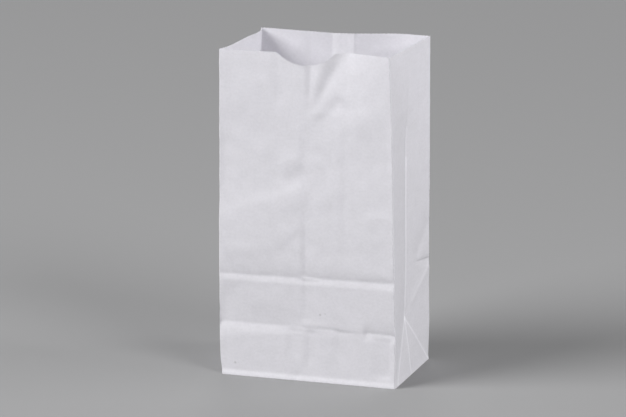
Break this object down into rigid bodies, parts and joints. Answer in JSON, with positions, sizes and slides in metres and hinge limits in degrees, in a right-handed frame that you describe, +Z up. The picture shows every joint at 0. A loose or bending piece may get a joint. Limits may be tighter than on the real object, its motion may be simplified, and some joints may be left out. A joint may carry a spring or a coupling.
{
  "type": "paper lunch bag",
  "caption": "White paper lunch bag with a square folded base, gusseted sides, a saw-toothed mouth and a thumb notch, standing open to be filled.",
  "frame": {"origin": "middle of the base, on the surface that the bag stands on", "axes": "+Z up, out of the mouth; -Y towards the front, which has the thumb notch; +X to the right seen from the front"},
  "size_m": [0.1543, 0.0997, 0.281],
  "materials": {
    "white_paper": "uncoated bleached kraft, matt, faintly ribbed"
  },
  "bodies": {
    "root": {"paper_bag": "white_paper"}
  },
  "joints": []
}
